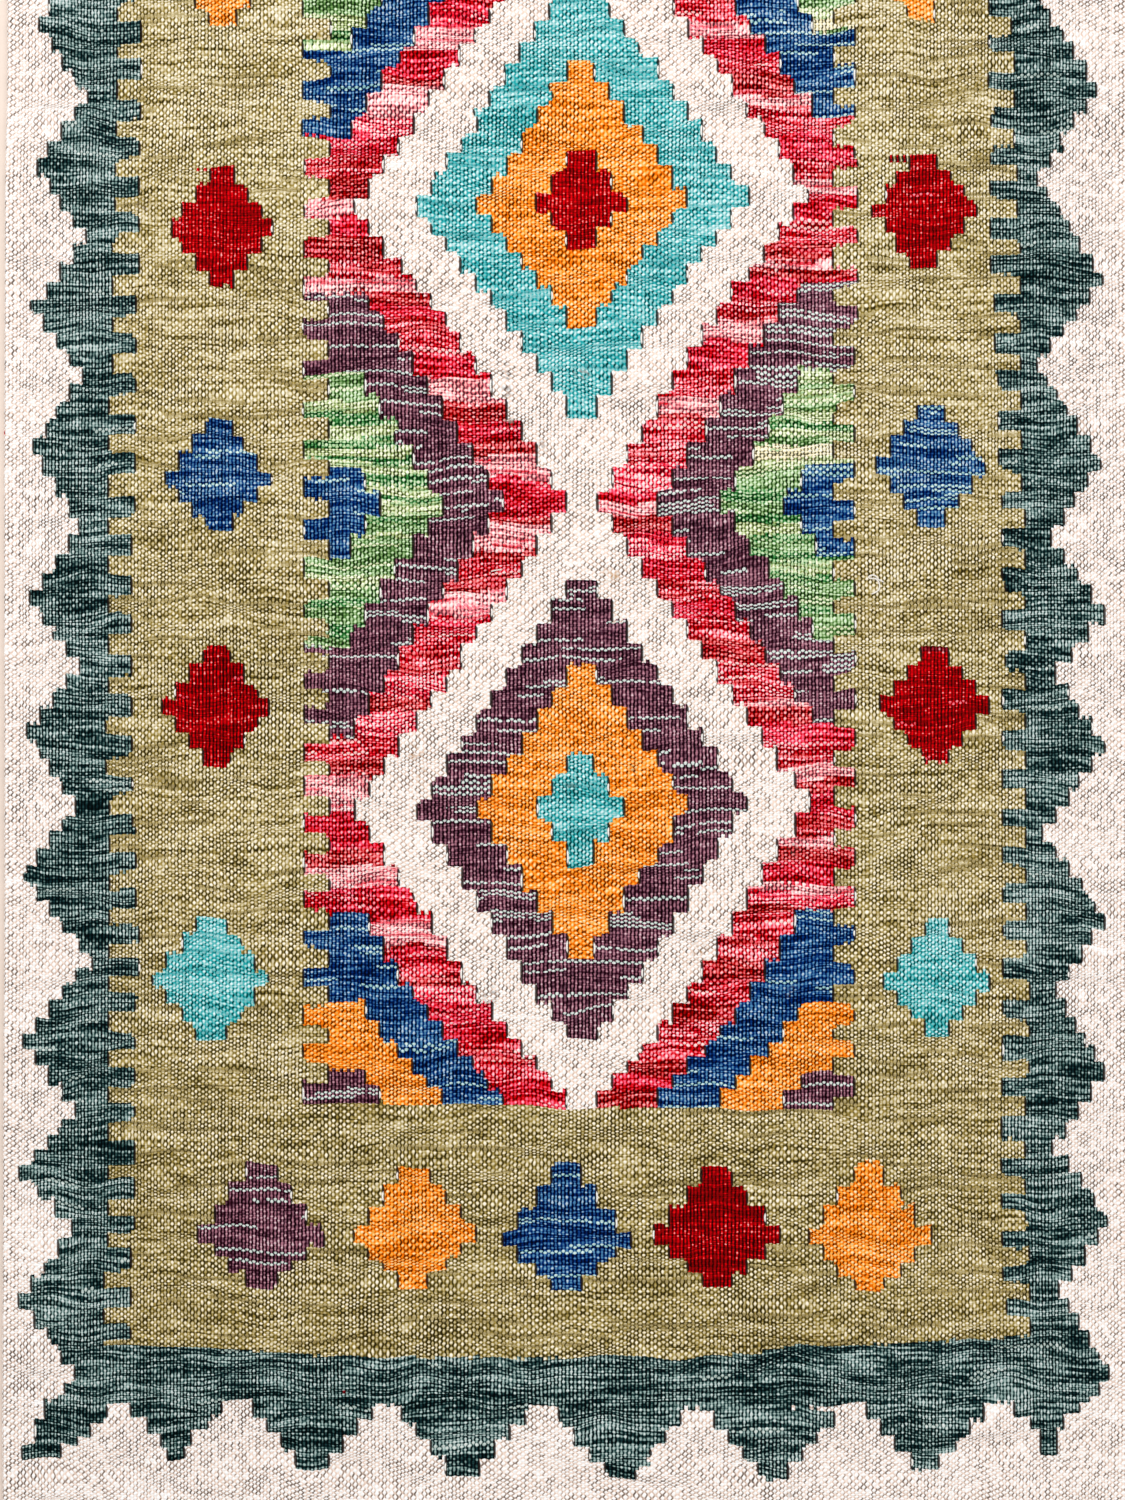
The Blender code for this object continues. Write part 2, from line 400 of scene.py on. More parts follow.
# Undyed warps show as short bowed threads at some of the slits
BARE_WARPS = 0.42  # share of the slits
BARE_WARP_BEADS = 4  # that one passes at most
BARE_WARP_ENDS = 0.4  # beads that hide it at each end
BARE_WARP_BOW = (0.0, 0.6, 1.0, 1.0, 0.6, 0.0)  # how far it bows out, from end to end
BARE_WARP_ASIDE = 0.5  # mm, its bow to the side
BARE_WARP_RISE = 0.9  # mm, its bow upwards
BARE_WARP_DEPTH = 0.45  # mm, of its ends below the face
BARE_WARP_RADIUS = 0.0007
BARE_WARP_COLOUR = "#fffcf6"
THREAD_SIDES = 6

LOOSE_THREAD_STEPS = 4  # between two of its places
LOOSE_THREADS = (
    # name, colour, radius, places as x, y and height above the face, in mm
    (
        "white_loose_thread", "#fffaf2", 0.00055,
        (
            (233.3, -53.1, 0.2), (228.7, -51.1, 0.9), (227.2, -49.0, 1.1), (224.4, -47.9, 0.9),
            (221.6, -49.0, 0.7), (222.6, -50.3, 0.5), (226.2, -50.4, 0.5), (228.6, -52.6, 0.5),
            (229.6, -55.6, 0.4), (229.0, -58.5, 0.4), (226.8, -60.3, 0.4), (223.2, -61.9, 0.3),
        ),
    ),
    (
        "white_stitch", "#f6ece6", 0.0005,
        ((-56.0, -45.3, -0.2), (-54.0, -44.6, 0.5), (-50.0, -44.0, 0.6), (-47.2, -43.4, -0.2)),
    ),
)

# Yarn ends that run on past an area and show on every other warp
STRAY_PICK_REACH = 1.7  # above and below its middle
STRAY_PICKS = (
    # yarn, x from, x to, y
    ("red", -273.0, -264.0, 250.8),
    ("red", 236.0, 252.0, 258.9),
    ("dark_red", -168.5, -163.0, -646.4),
    ("crimson", -415.0, -409.0, 56.6),
)

# Marks that use has left on the face
STAIN_REACH = 1.5  # half widths from its middle at which a stain has faded out
STAINS = (
    # colour, strength, x, y, half width, half height
    ("#a8763c", 0.55, -111.6, -177.7, 6.0, 5.0),
    ("#a8763c", 0.50, -105.8, -196.1, 4.5, 5.5),
    ("#a8763c", 0.60, 97.0, -323.2, 6.5, 5.0),
    ("#b08040", 0.60, 33.1, -48.5, 6.0, 4.5),
    ("#3a2a26", 0.55, 48.5, -189.5, 2.4, 2.0),
    ("#3a2a26", 0.55, 50.7, -215.2, 2.4, 2.0),
    ("#4a4038", 0.60, 2.9, -204.2, 4.5, 3.0),
    ("#8a8480", 0.90, 11.0, 100.5, 5.0, 3.4),
    ("#8a8078", 0.80, -42.3, 64.6, 3.2, 2.6),
    ("#8a8078", 0.75, 164.5, -721.3, 3.0, 3.0),
    ("#4a3a34", 0.60, -44.5, 92.0, 3.0, 12.0),
    ("#5a4438", 0.55, -56.6, -356.2, 5.0, 6.0),
    ("#5a4438", 0.50, -311.4, 224.0, 5.0, 4.0),
    ("#4a3a34", 0.50, 166.0, -249.7, 4.0, 4.5),
    ("#4a3a34", 0.50, 164.5, -352.6, 4.0, 4.5),
    ("#6a5448", 0.55, -20.6, 46.0, 6.0, 4.0),
)

# The column is woven in brick rows. Row 0 is its waist, and rows 14 and -14 are the widest.
BRICK_ROWS = (
    # row, y at the left, y at the right
    (29, 456.5, 460.5),
    (28, 440.7, 445.1),
    (20, 314.4, 330.5),
    (14, 219.6, 231.4),
    (9, 153.5, 161.6),
    (5, 91.8, 96.2),
    (0, 5.1, 5.9),
    (-4, -58.8, -57.3),
    (-10, -157.9, -149.8),
    (-14, -221.1, -213.7),
    (-18, -286.5, -285.0),
    (-21, -339.3, -339.3),
    (-24, -382.7, -382.7),
    (-28, -428.9, -431.9),
    (-29, -445.0, -447.0),
)
LAST_ROW = 28
WIDEST_ROW = 14
COLUMN_LEFT = (-155.7, 11.07)  # x where crimson meets ivory in the widest row, and the step in
COLUMN_RIGHT = (177.7, -11.2)
INNER_BAND = 4.0  # steps in each ring of a lozenge
OUTER_BAND = 4.13  # steps in each ring around the lozenges
COLUMN_COMB = ((-174.1, -193.9), (196.1, 212.3))  # x at the foot and the tip of the teeth
UPPER_LOZENGE = ("ivory", "turquoise", "orange", "red")
LOWER_LOZENGE = ("ivory", "purple", "orange", "turquoise")
OUTER_RINGS = (
    # yarn, ring out from the crimson one, first and last brick row
    ("blue", 1, 28, 18),
    ("green", 2, 28, 22),
    ("orange", 3, 28, 26),
    ("purple", 1, 9, -10),
    ("green", 2, 5, -6),
    ("blue", 3, 1, -2),
    ("blue", 1, -19, -28),
    ("orange", 2, -23, -28),
    ("purple", 3, -27, -28),
)

# Two rings change their dye lot along the weaving: a letter for the lot and its height in mm,
# from the head down, at the left and at the right of the column.
LOT_WAVE = (2.4, 22.0, 18.0)  # how far a change wanders up and down, over this far each way
# Crimson: d is deep, c crimson, r rose, p pink, l light pink, and s is streaked with several.
CRIMSON_LOTS = {
    "d": "deep_crimson", "c": "crimson", "r": "rose", "p": "pink", "l": "light_pink",
    "s": "streaked_crimson",
}
CRIMSON_START = 455.0
CRIMSON_LEFT = """
c10 l12 c16 d7 p13 c15 d7 c9 p11 l19 c18 d6 l22 p15 c16 s17 d14 l13 c15 d16 s13 l10 d11 c10 s9
r18 c16 l16 d15 c15 d11 l17 c28 d5 l19 d6 r15 d10 l18 c9 r14 s18 p18 d11 p18 r16 d15 l25 c28
d12 l16 c6 r6 c11 l19 d3 c11 r8 d7 p13 c28 r7 d7 r15 c23
"""
CRIMSON_RIGHT = """
d13 p16 c13 l13 r12 d13 r14 l13 c15 r11 d16 l8 s9 r14 c19 s13 l12 c19 r17 d11 l6 d7 c17 s15 l15
c20 r21 l13 d4 r15 s15 p19 c9 l10 d15 p18 c15 s16 c15 s14 d15 r16 s14 l5 d11 c17 s14 l11 d10
c16 s15 l9 d11 c16 l6 p9 d6 r18 s17 d16 r16 d12 s14 r14 d12 c10 d17
"""
# Green: d is deep, m middling, l light and p pale.
GREEN_LOTS = {"d": "green", "m": "mid_green", "l": "light_green", "p": "pale_green"}
GREEN_START = 456.0
GREEN_LEFT = """
l8 d7 m12 l7 d8 m9 l8 d6 m29 l10 d8 l8 m238 m18 l8 d10 l8 d8 l7 d5 l6 d7 l7 d6 l9 m4 d4 m7 l4
m28 l6 m11 d5 m12 d10 m20
"""
GREEN_RIGHT = """
m9 d8 l10 m9 d7 l8 m12 d6 l7 m10 l7 p10 m250 l7 m6 l8 m7 l9 d7 l4 m7 p11 l6 m16 d9 m9 d6 l7 d6
m6 d9 l9 d6 m19 d7 m30
"""


def hex_to_linear(code):
    """An sRGB hex colour as linear red, green, blue and a full alpha."""
    values = [int(code[i : i + 2], 16) / 255 for i in (1, 3, 5)]
    line = [v / 12.92 if v <= 0.04045 else ((v + 0.055) / 1.055) ** 2.4 for v in values]
    return (*line, 1.0)


# ---- Settings in the sidebar ----


def dye(label, code):
    """A colour setting for one dye lot."""
    return FloatVectorProperty(
        name=label,
        description=f"Own colour of the {label.lower()} wool",
        default=hex_to_linear(code)[:3],
        min=0.0,
        max=1.0,
        subtype="COLOR",
    )


class KilimYarns(bpy.types.PropertyGroup):
    """The own colour of each dye lot."""

    __annotations__ = {
        name: dye(name.replace("_", " ").capitalize(), own) for name, _, _, own, _ in YARNS
    }


class KilimWeave(bpy.types.PropertyGroup):
    """Thread counts and relief of the weave."""

    warps: IntProperty(
        name="Warps",
        description="Spaces between warps across the rug, an even number",
        default=320,
        min=40,
        max=400,
        step=2,
    )
    wefts: IntProperty(
        name="Wefts",
        description="Spaces between wefts along the rug, ten times a whole number",
        default=1000,
        min=100,
        max=1100,
        step=10,
    )
    relief: FloatProperty(
        name="Relief",
        description="How much one bead stands higher than another",
        default=0.12 * MM,
        min=0.0,
        max=MM,
        precision=5,
        subtype="DISTANCE",
        unit="LENGTH",
    )


class KilimStage(bpy.types.PropertyGroup):
    """The floor and the light around the rug."""

    floor: FloatVectorProperty(
        name="Floor",
        description="Colour of the plain floor",
        default=hex_to_linear("#e6d6ca")[:3],
        min=0.0,
        max=1.0,
        subtype="COLOR",
    )
    key_power: FloatProperty(
        name="Key light",
        description="Power of the large soft light beyond the head",
        default=95.0,
        min=0.0,
        subtype="POWER",
        unit="POWER",
    )
    ambient: FloatProperty(
        name="Ambient",
        description="Strength of the even light from all round",
        default=0.62,
        min=0.0,
    )


# ---- Where each crossing lies ----


def eased(table, column, share):
    """One column of a table at many shares of the way, eased from row to row."""
    rows = np.array(table)
    k = np.clip(np.searchsorted(rows[:, 0], share) - 1, 0, len(rows) - 2)
    t = np.clip((share - rows[k, 0]) / (rows[k + 1, 0] - rows[k, 0]), 0.0, 1.0)
    ease = (1.0 - np.cos(np.pi * t)) / 2.0
    return rows[k, column] + (rows[k + 1, column] - rows[k, column]) * ease


def ripple(x, y, across, along, seed):
    """Soft irregular waves from -1 to 1, of a given size across and along."""
    size = 64
    knots = np.random.default_rng(seed).uniform(-1.0, 1.0, (size, size))
    gx = x / across + size * 4  # whole turns of the knots, which keep the counts above zero
    gy = y / along + size * 4
    ix = np.floor(gx).astype(int)
    iy = np.floor(gy).astype(int)
    fx = gx - ix
    fy = gy - iy
    fx = fx * fx * (3.0 - 2.0 * fx)
    fy = fy * fy * (3.0 - 2.0 * fy)
    low = knots[ix % size, iy % size] * (1 - fx) + knots[(ix + 1) % size, iy % size] * fx
    high = knots[ix % size, (iy + 1) % size] * (1 - fx)
    high = high + knots[(ix + 1) % size, (iy + 1) % size] * fx
    return low * (1 - fy) + high * fy


def straight_place(u, v, weave):
    """Where warp u and weft v would cross if every thread lay straight, in mm."""
    s = u / weave.warps
    across = s - WARP_CROWDING / (2 * np.pi) * np.sin(2 * np.pi * s)
    along = 1.0 - v / weave.wefts
    x = (across - 0.5) * RUG_WIDTH / MM
    y = (0.5 - along) * RUG_LENGTH / MM
    x = x + eased(SELVEDGE_DRAW_IN, 1, along) * (1 - across)
    x = x - eased(SELVEDGE_DRAW_IN, 2, along) * across
    y = y + eased(END_DRAW_IN, 1, across) * along - eased(END_DRAW_IN, 2, across) * (1 - along)
    return x, y


def zigzag(u, v, weave):
    """Weft counts with each bead's ends set up or down from its neighbours'."""
    rib = np.floor(u)
    crown = u - rib > 0.25
    lift = 0.5 + np.where(crown, np.where(rib % 2 == 0, BEAD_STAGGER, -BEAD_STAGGER), 0.0)
    return v + np.where((v > 0) & (v < weave.wefts), lift, 0.0)


def woven_place(u, v, weave):
    """Where warp u and weft v cross in the uneven hand weave, in mm."""
    x, y = straight_place(u, v, weave)
    from_side = np.minimum(u, weave.warps - u)
    from_end = np.minimum(v, weave.wefts - v)
    side, end = CALM_EDGES
    calm = np.clip(from_side / side, 0, 1) * np.clip(from_end / end, 0, 1)
    amount, across, along = WARP_WANDER
    shift_x = amount * ripple(x, y, across, along, 11) * calm
    shift_x = shift_x + WARP_UNEVENNESS * (chance(12, np.round(u * 2)) - 0.5) * calm
    shift_y = sum(
        amount * ripple(x, y, across, along, 21 + k) * calm
        for k, (amount, across, along) in enumerate(ROW_WAVES)
    )
    pull = np.clip((PULLED_WARPS - from_side) / (PULLED_WARPS - 1), 0, 1)
    pull = pull * np.minimum(from_side, 1) * SELVEDGE_PULL
    return x + shift_x + np.where(u < weave.warps / 2, -pull, pull), y + shift_y


def crest(distance, width, rise):
    """The height that a rounded border adds at a distance in from its edge."""
    inside = np.clip(distance / width, 0.0, 1.0)
    return rise * np.sin(np.pi * inside)


def face_height(x, y):
    """Mean height of the face at a point given in metres, as in the solid."""
    cockle = np.sin(2 * np.pi * y / COCKLE_ALONG + COCKLE_PHASES[0])
    cockle = cockle * np.sin(2 * np.pi * x / COCKLE_ACROSS + COCKLE_PHASES[1])
    cord = crest(RUG_WIDTH / 2 - np.abs(x), SELVEDGE_CORD_WIDTH, SELVEDGE_CORD_RISE)
    roll = crest(RUG_LENGTH / 2 - np.abs(y), END_ROLL_WIDTH, END_ROLL_RISE)
    return CLOTH_THICKNESS + COCKLE_HEIGHT * cockle + np.maximum(cord, roll)


# ---- The chart: which yarn fills each cell ----


def chance(seed, *numbers):
    """A fixed random share from 0 to 1 for each set of whole numbers."""
    count = 65536
    mixed = np.zeros(np.shape(numbers[0]), dtype=np.int64) + seed * 7919
    for number in numbers:
        mixed = (mixed * 31 + np.asarray(number, dtype=np.int64) * 131 + 17) % count
    shares = np.random.default_rng(seed).uniform(0.0, 1.0, count)
    return shares[mixed]


def stepped_edge(points, y):
    """The border's edge at y: it goes from tip to valley in even steps."""
    rows = np.array(points)
    k = np.clip(np.searchsorted(rows[:, 0], y) - 1, 0, len(rows) - 2)
    height = rows[k + 1, 0] - rows[k, 0]
    levels = np.maximum(np.round(height / BORDER_STEP), 1)
    level = np.round(np.clip((y - rows[k, 0]) / height, 0, 1) * levels)
    return rows[k, 1] + (rows[k + 1, 1] - rows[k, 1]) * level / levels


def line_at(points, x, column=1):
    """A table's column at many places, with straight lines between its rows."""
    rows = np.array(sorted(points))
    return np.interp(x, rows[:, 0], rows[:, column])


def in_tooth(x, y, column, foot, tip):
    """Whether a place lies in a tooth of one of the combs. A tooth tapers towards its tip."""
    rows = np.array(sorted(COMB_TEETH, key=lambda row: row[column]))
    number = np.interp(y, rows[:, column], rows[:, 0])
    nearest = np.round(number).astype(int)
    out = np.clip((x - foot) / (tip - foot), 0.0, 1.0)
    share = COMB_SHARE + TOOTH_TAPER * (0.5 - out)
    share = share + TOOTH_UNEVENNESS * (chance(40 + column, nearest) - 0.5)
    return np.abs(number - TOOTH_DROOP * (0.5 - out) - nearest) < share / 2


def teal_area(x, y):
    """The outer border: two stepped sides, and a band with hanging teeth at each end."""
    left = stepped_edge(BORDER_LEFT, y)
    right = stepped_edge(BORDER_RIGHT, y)
    far = np.abs(y)
    turned = np.where(y < 0, x, -x)
    inside = (x > left) & (x < right) & (far < line_at(BAND_LINE, turned))
    for middle, half, tip in BAND_TEETH:
        top = line_at(BAND_LINE, middle)
        level = np.floor((far - top) / ((tip - top) / TOOTH_LEVELS))
        reach = np.maximum(half - TOOTH_STEP * np.maximum(level, 0), TOOTH_TIP)
        below = (far >= top - TOOTH_OVERLAP) & (far < tip)
        inside |= below & (np.abs(turned - middle) < reach)
    for low, high, near, farther in CORNER_FINGER:
        inside |= (turned > low) & (turned < high) & (far >= near) & (far < farther)
    return inside


def olive_area(x, y):
    """The field between the combs of the border."""
    sides = []
    for column, comb in ((1, COMB_LEFT), (2, COMB_RIGHT)):
        foot, tip = line_at(comb, y), line_at(comb, y, 2)
        sides.append(np.where(in_tooth(x, y, column, foot, tip), tip, foot))
    left, right = sides
    turned = np.where(y < 0, x, -x)
    return (x > left) & (x < right) & (np.abs(y) < line_at(FIELD_END, turned))


def diamond_area(x, y, middle, widest, half, rise, drop):
    """A small stepped diamond."""
    up = y - widest
    row = np.where(
        up > 0,
        np.ceil((up - DIAMOND_MIDDLE) / ((rise - DIAMOND_MIDDLE) / DIAMOND_ROWS)),
        np.ceil((-up - DIAMOND_MIDDLE) / ((drop - DIAMOND_MIDDLE) / DIAMOND_ROWS)),
    )
    row = np.maximum(row, 0)
    reach = half * (1 - row / (DIAMOND_ROWS + 1))
    return (row <= DIAMOND_ROWS) & (np.abs(x - middle) < reach)


def brick_row(x, y):
    """Each cell's place among the column's brick rows, as a number with a fraction."""
    rows = np.array(BRICK_ROWS)[::-1]
    left = np.interp(y, rows[:, 1], rows[:, 0])
    right = np.interp(y, rows[:, 2], rows[:, 0])
    start = COLUMN_LEFT[0]
    share = np.clip((x - start) / (COLUMN_RIGHT[0] - start), 0, 1)
    return left * (1 - share) + right * share


def dye_runs(text, start, lots, y):
    """The dye lot at each height, from a text of letters and heights."""
    edges = [start]
    numbers = []
    for item in text.split():
        edges.append(edges[-1] - float(item[1:]))
        numbers.append(YARN_NUMBERS[lots[item[0]]])
    k = np.clip(np.searchsorted(-np.array(edges), -y) - 1, 0, len(numbers) - 1)
    return np.array(numbers)[k]


def changing_lots(x, y, left, right, start, lots, seed):
    """The dye lots of a ring at both sides of the column, with slightly wavy changes."""
    amount, *size = LOT_WAVE
    wavy = y + amount * ripple(x, y, *size, seed)
    on_right = x > (COLUMN_LEFT[0] + COLUMN_RIGHT[0]) / 2
    runs = [dye_runs(text, start, lots, wavy) for text in (left, right)]
    return np.where(on_right, runs[1], runs[0])


def column_yarns(x, y):
    """Yarn of each cell of the column, and whether the cell lies in the column."""
    number = brick_row(x, y)
    row = np.round(number).astype(int)
    from_widest = np.abs(np.abs(row) - WIDEST_ROW)
    left = COLUMN_LEFT[0] + COLUMN_LEFT[1] * from_widest
    right = COLUMN_RIGHT[0] + COLUMN_RIGHT[1] * from_widest
    depth = np.minimum((x - left) / COLUMN_LEFT[1], (right - x) / -COLUMN_RIGHT[1])

    ring = np.clip(np.floor(depth / INNER_BAND).astype(int), 0, 3)
    upper = np.array([YARN_NUMBERS[name] for name in UPPER_LOZENGE])[ring]
    lower = np.array([YARN_NUMBERS[name] for name in LOWER_LOZENGE])[ring]
    yarn = np.where(row > 0, upper, lower)

    crimson = changing_lots(x, y, CRIMSON_LEFT, CRIMSON_RIGHT, CRIMSON_START, CRIMSON_LOTS, 51)
    yarn = np.where(depth < 0, crimson, yarn)
    for name, outward, first, last in OUTER_RINGS:
        inside = (depth < -outward * OUTER_BAND) & (row <= first) & (row >= last)
        yarn = np.where(inside, YARN_NUMBERS[name], yarn)

    left_edge, right_edge = (
        np.where(in_tooth(x, y, column, foot, tip), tip, foot)
        for column, (foot, tip) in zip((3, 4), COLUMN_COMB)
    )
    inside = (x > left_edge) & (x < right_edge) & (np.abs(row) <= LAST_ROW)
    return yarn, inside


def rounded_corners(yarn, seed, up, down):
    """Gives some beads at the corners of the areas to the area above or below them."""
    area, _ = areas(yarn)
    side = np.zeros(yarn.shape, dtype=bool)
    side[1:] |= area[1:] != area[:-1]
    side[:-1] |= area[:-1] != area[1:]
    rib, bead = np.meshgrid(*map(np.arange, yarn.shape), indexing="ij")
    rounded = yarn.copy()
    for step, part in ((1, up), (-1, down)):
        beyond = np.roll(yarn, -step, axis=1)
        corner = side & (np.roll(area, -step, axis=1) != area)
        corner &= np.roll(area, step, axis=1) == area
        corner &= (bead > 0) & (bead < yarn.shape[1] - 1)
        rounded = np.where(corner & (chance(seed + step, rib, bead) < part), beyond, rounded)
    return rounded


def chart(weave):
    """The yarn of every bead of the rug."""
    rib, bead = np.meshgrid(np.arange(weave.warps), np.arange(weave.wefts // 2), indexing="ij")
    u = rib + 0.5
    v = 2 * bead + 1.5 + np.where(rib % 2 == 0, BEAD_STAGGER, -BEAD_STAGGER)
    straight_x, straight_y = straight_place(u, v, weave)
    x, y = woven_place(u, v, weave)
    x = straight_x + (x - straight_x) * (1 - EDGE_FOLLOWS)
    y = straight_y + (y - straight_y) * (1 - EDGE_FOLLOWS)
    yarn = np.full(u.shape, YARN_NUMBERS["cream"])
    yarn[teal_area(x, y)] = YARN_NUMBERS["teal"]
    yarn[olive_area(x, y)] = YARN_NUMBERS["olive"]
    for name, *shape in DIAMONDS:
        yarn[diamond_area(x, y, *shape)] = YARN_NUMBERS[name]
    in_column, inside = column_yarns(x, y)
    yarn = np.where(inside, in_column, yarn)
    middle, half, foot = DARK_TIP
    tip = (np.abs(x - middle) < half) & (y > foot) & (y < 0)
    yarn[tip & (yarn == YARN_NUMBERS["red"])] = YARN_NUMBERS["dark_red"]
    green = changing_lots(x, y, GREEN_LEFT, GREEN_RIGHT, GREEN_START, GREEN_LOTS, 61)
    yarn = np.where(yarn == YARN_NUMBERS["green"], green, yarn)
    yarn = rounded_corners(yarn, 90, *CORNER_ROUNDING)
    for name, first, last, height in STRAY_PICKS:
        tail = (x > first) & (x < last) & (np.abs(y - height) < STRAY_PICK_REACH)
        yarn = np.where(tail & (rib % 2 == 0), YARN_NUMBERS[name], yarn)
    return yarn


def areas(yarn):
    """The number of each bead's area, where an area is all the dye lots of one colour."""
    names = sorted({row[1] for row in YARNS})
    return np.array([names.index(row[1]) for row in YARNS])[yarn], names.index("ivory")


def mesh_lines(values):
    """Values of the beads, as means at the lines of the mesh: gaps and crowns by rows."""
    padded = np.pad(values.astype(float), 1, mode="edge")
    level = (padded[:, 1:] + padded[:, :-1]) / 2
    lines = np.zeros((2 * values.shape[0] + 1, values.shape[1] + 1))
    lines[1::2] = level[1:-1]
    lines[::2] = (level[1:] + level[:-1]) / 2
    return lines


def slits(yarn):
    """How far each gap is open, at the lines of the mesh, where two areas end side by side."""
    area, _ = areas(yarn)
    rib, bead = np.meshgrid(*map(np.arange, (yarn.shape[0] - 1, yarn.shape[1])), indexing="ij")
    tight = SLIT_UNEVENNESS * (1.0 - chance(71, rib, bead // SLIT_STRETCH))
    apart = (area[1:] != area[:-1]) * (1.0 - tight)
    depth = np.zeros((2 * yarn.shape[0] + 1, yarn.shape[1] + 1))
    depth[2:-1:2, 1:-1] = np.minimum(apart[:, 1:], apart[:, :-1])
    return depth


# ---- The woven mesh ----


def thread_grid(bm, warps, wefts, first, columns, height):
    """Lays a flat grid in thread counts, with its rows two wefts apart."""
    made = bmesh.ops.create_grid(bm, x_segments=columns, y_segments=wefts // 2, size=0.5)
    bmesh.ops.scale(bm, vec=(warps, wefts, 1), verts=made["verts"])
    bmesh.ops.translate(bm, vec=(warps / 2, first + wefts / 2, height), verts=made["verts"])


def closed_band(warps, wefts, first):
    """Face, underside and walls of one band of cloth, in thread counts."""
    bm = bmesh.new()
    thread_grid(bm, warps, wefts, first, warps * 2, 1)
    rim = [edge for edge in bm.edges if edge.is_boundary]
    thread_grid(bm, warps, wefts, first, warps // 2, 0)
    under_rim = [edge for edge in bm.edges if edge.is_boundary and edge.verts[0].co.z < 0.5]
    level = [edge for edge in under_rim if abs(edge.verts[0].co.y - edge.verts[1].co.y) < 0.5]
    bmesh.ops.subdivide_edges(bm, edges=level, cuts=3)  # the face has four cells to each of its own
    wall = bmesh.ops.extrude_edge_only(bm, edges=rim)
    foot = [item for item in wall["geom"] if isinstance(item, bmesh.types.BMVert)]
    bmesh.ops.translate(bm, vec=(0, 0, -1), verts=foot)
    meeting = [vert for vert in bm.verts if vert.is_boundary and vert.co.z < 0.5]
    bmesh.ops.remove_doubles(bm, verts=meeting, dist=0.1)
    bmesh.ops.triangulate(bm, faces=bm.faces)
    bmesh.ops.recalc_face_normals(bm, faces=bm.faces)
    # The walls come out in another order on every run, so here the faces get a fixed one
    by_place = Vector((1.0, 1e3, 1e7))  # by layer, then by weft, then by warp
    bm.faces.sort(key=lambda face: face.calc_center_median().dot(by_place))
    return bm


def thread_places(mesh):
    """Each vertex's warp, weft and layer while the mesh is still in thread counts."""
    flat = np.zeros(len(mesh.vertices) * 3, dtype=np.float32)
    mesh.vertices.foreach_get("co", flat)
    return np.round(flat.reshape(-1, 3).astype(float) * 2) / 2


def shape_band(mesh, threads, weave, depth, ribs):
    """Moves the mesh from thread counts to its place in the rug."""
    u, row, layer = threads.T
    x, y = woven_place(u, zigzag(u, row, weave), weave)
    line = np.round(u * 2).astype(int), np.round(row / 2).astype(int)
    slit = depth[line]
    uneven = (chance(81, np.round(u * 2), row) - 0.5) * weave.relief / MM
    top = face_height(x * MM, y * MM) / MM + uneven
    top = top + np.where(line[0] % 2, RIB_RISE, RIB_RISE - 1.0) * RIB_DEPTH * ribs[line]
    top = top - slit * (SLIT_DEPTH - RIB_DEPTH)
    under = np.where(np.round(u / 2 + row / 2) % 2 == 0, 0.0, UNDERSIDE_RELIEF)
    low_edge, high_edge = EDGE_HEIGHT
    at_edge = (u < 0.25) | (u > weave.warps - 0.25) | (row < 0.5) | (row > weave.wefts - 0.5)
    face = np.where(at_edge, high_edge, top)
    z = np.where(layer > 0.5, face, np.where(at_edge, low_edge, under))
    places = np.stack([x, y, z], axis=1) * MM
    mesh.vertices.foreach_set("co", places.astype(np.float32).ravel())
    gap = mesh.attributes.new("slit", "FLOAT", "POINT")
    gap.data.foreach_set("value", slit.astype(np.float32))


def dress_band(mesh, threads, yarn, weave):
    """Gives each face its bead's yarn, and the mesh its thread counts as a UV map."""
    corner = np.zeros(len(mesh.loops), dtype=np.int32)
    mesh.loops.foreach_get("vertex_index", corner)
    counts = np.stack([threads[:, 0], zigzag(threads[:, 0], threads[:, 1], weave)], axis=1)
    layer = mesh.uv_layers.new(name="threads")
    layer.uv.foreach_set("vector", counts[corner].astype(np.float32).ravel())
    middle = threads[corner].reshape(-1, 3, 3).mean(axis=1)
    rib = np.clip(np.floor(middle[:, 0]), 0, yarn.shape[0] - 1).astype(int)
    bead = np.clip(np.floor(middle[:, 1] / 2), 0, yarn.shape[1] - 1).astype(int)
    used = yarn[rib, bead]
    kept = sorted(set(used.tolist()))
    for number in kept:
        mesh.materials.append(bpy.data.materials["handspun_wool_" + YARN_NAMES[number]])
    slot = np.searchsorted(np.array(kept), used).astype(np.int32)
    mesh.polygons.foreach_set("material_index", slot)


def stain_band(mesh, threads, weave):
    """Gives each place on the mesh the colour of the stain on it, with its strength as alpha."""
    u, row, layer = threads.T
    x, y = woven_place(u, zigzag(u, row, weave), weave)
    marks = np.zeros((len(u), 4), dtype=np.float32)
    for code, strength, middle_x, middle_y, half_width, half_height in STAINS:
        away = np.hypot((x - middle_x) / half_width, (y - middle_y) / half_height)
        soaked = np.clip(STAIN_REACH - away, 0.0, 1.0) * strength * (layer > 0.5)
        here = soaked > marks[:, 3]
        marks[here, :3] = hex_to_linear(code)[:3]
        marks[here, 3] = soaked[here]
    stain = mesh.attributes.new("stain", "FLOAT_COLOR", "POINT")
    stain.data.foreach_set("color", marks.ravel())


def finished_mesh(name, bm):
    """The mesh that a bmesh has made."""
    mesh = bpy.data.meshes.new(name)
    bm.to_mesh(mesh)
    bm.free()
    return mesh


def link_piece(name, mesh):
    """Links a finished mesh as a piece that rides with the rug."""
    piece = bpy.data.objects.new(name, mesh)
    bpy.context.scene.collection.objects.link(piece)
    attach(piece, "root")
    return piece


# ---- Bare warps and loose threads ----


